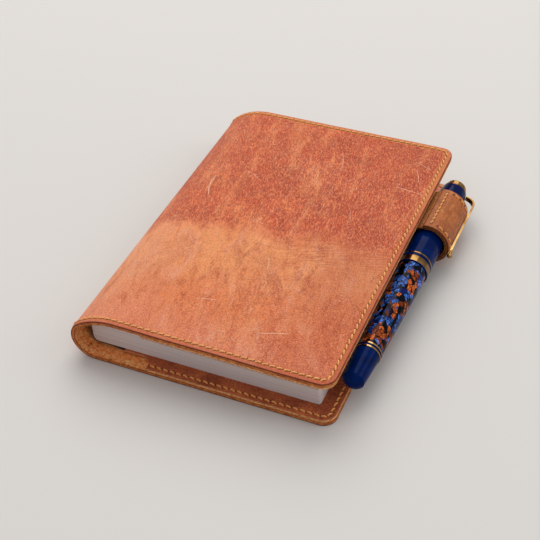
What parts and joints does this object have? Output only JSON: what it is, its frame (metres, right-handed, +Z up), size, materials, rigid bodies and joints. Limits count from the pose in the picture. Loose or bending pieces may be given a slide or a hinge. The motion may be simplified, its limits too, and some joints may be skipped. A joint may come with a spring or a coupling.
{
  "type": "notebook cover with fountain pen loop",
  "caption": "Stitched A6 leather notebook cover with inner pockets, its notebook, and a fountain pen clipped in a loop at the fore edge.",
  "frame": {"origin": "centre of the back cover's flat underside, on the table", "axes": "+X from the spine to the fore edge, +Y from tail to head along the spine, +Z up through the closed cover"},
  "size_m": [0.1359, 0.166, 0.0247],
  "materials": {
    "outer_leather": "waxed pull-up leather, tan with redder clouds",
    "lining_leather": "smooth dark brown leather",
    "loop_leather": "smooth waxed tan leather",
    "thread": "waxed amber sewing thread",
    "notebook_cover": "fine-grained soft cover",
    "paper": "edges of thin white leaves",
    "navy_resin": "polished deep blue resin",
    "chip_resin": "polished resin with blue, pale blue, rust and black chips",
    "gold_trim": "polished gold plate",
    "gold_nib": "polished gold",
    "black_plastic": "moulded black plastic",
    "steel_rod": "turned steel",
    "seal_rubber": "soft black seal"
  },
  "bodies": {
    "root": {"cover_back": "outer_leather", "pocket_back": "lining_leather", "seam_back": "thread", "loop_strap": "loop_leather", "loop_liner": "lining_leather", "loop_seam": "thread", "notebook_cover_back": "notebook_cover", "page_block": "paper"},
    "spine": {"cover_spine": "outer_leather", "seam_spine": "thread"},
    "front_cover": {"cover_front": "outer_leather", "pocket_front": "lining_leather", "seam_front": "thread", "notebook_cover_front": "notebook_cover"},
    "turned_leaves": {"front_leaves": "paper", "notebook_cover_fold": "notebook_cover"},
    "pen_cap": {"cap_body": "navy_resin", "inner_cap": "black_plastic", "cap_band": "gold_trim", "cap_ring": "gold_trim", "clip_ring": "gold_trim", "cap_finial": "gold_trim"},
    "clip": {"clip": "gold_trim"},
    "pen_barrel": {"barrel": "chip_resin", "grip_section": "navy_resin", "section_ring": "gold_trim", "feed": "black_plastic", "nib": "gold_nib", "tail_collar": "navy_resin", "tail_rings": "gold_trim", "piston_guide": "black_plastic"},
    "knob": {"piston_knob": "navy_resin"},
    "piston": {"piston_rod": "steel_rod", "piston_seal": "seal_rubber"}
  },
  "joints": [
    {"name": "cover_open", "type": "hinge", "parent": "root", "child": "spine", "pos_m": [-0.05972, 0, 0.008], "axis": [0, -1, 0], "range_deg": [0, 101.9]},
    {"name": "cover_fold", "type": "hinge", "parent": "spine", "child": "front_cover", "pos_m": [-0.05788, 0, 0.0167], "axis": [0, -1, 0], "range_deg": [0, 77.99]},
    {"name": "leaves_turn", "type": "hinge", "parent": "root", "child": "turned_leaves", "pos_m": [-0.05465, 0, 0.0158], "axis": [0, -1, 0], "range_deg": [0, 182.51]},
    {"name": "pen_slide", "type": "slide", "parent": "root", "child": "pen_cap", "axis": [0.0209, 0.9998, 0], "range_m": [0, 0.125]},
    {"name": "clip_flex", "type": "hinge", "parent": "pen_cap", "child": "clip", "pos_m": [0.07006, 0.06632, 0.01047], "axis": [0.2079, -0.0044, 0.9781], "range_deg": [0, 4], "stiffness_Nm_per_rad": 0.5},
    {"name": "cap_pull", "type": "slide", "parent": "pen_cap", "child": "pen_barrel", "axis": [-0.0209, -0.9998, 0], "range_m": [0, 0.06]},
    {"name": "knob_turn", "type": "hinge", "parent": "pen_barrel", "child": "knob", "pos_m": [0.06151, -0.05448, 0.01175], "axis": [-0.0209, -0.9998, 0], "range_deg": [0, 1441]},
    {"name": "piston_travel", "type": "slide", "parent": "pen_barrel", "child": "piston", "axis": [0.0209, 0.9998, 0], "range_m": [0, 0.02]}
  ],
  "couplings": [
    {"joint": "cover_fold", "follows": "cover_open", "ratio": 0.76528},
    {"joint": "leaves_turn", "follows": "cover_open", "ratio": 1.791},
    {"joint": "knob_turn", "follows": "piston_travel", "rad_per_m": 1256.6}
  ]
}
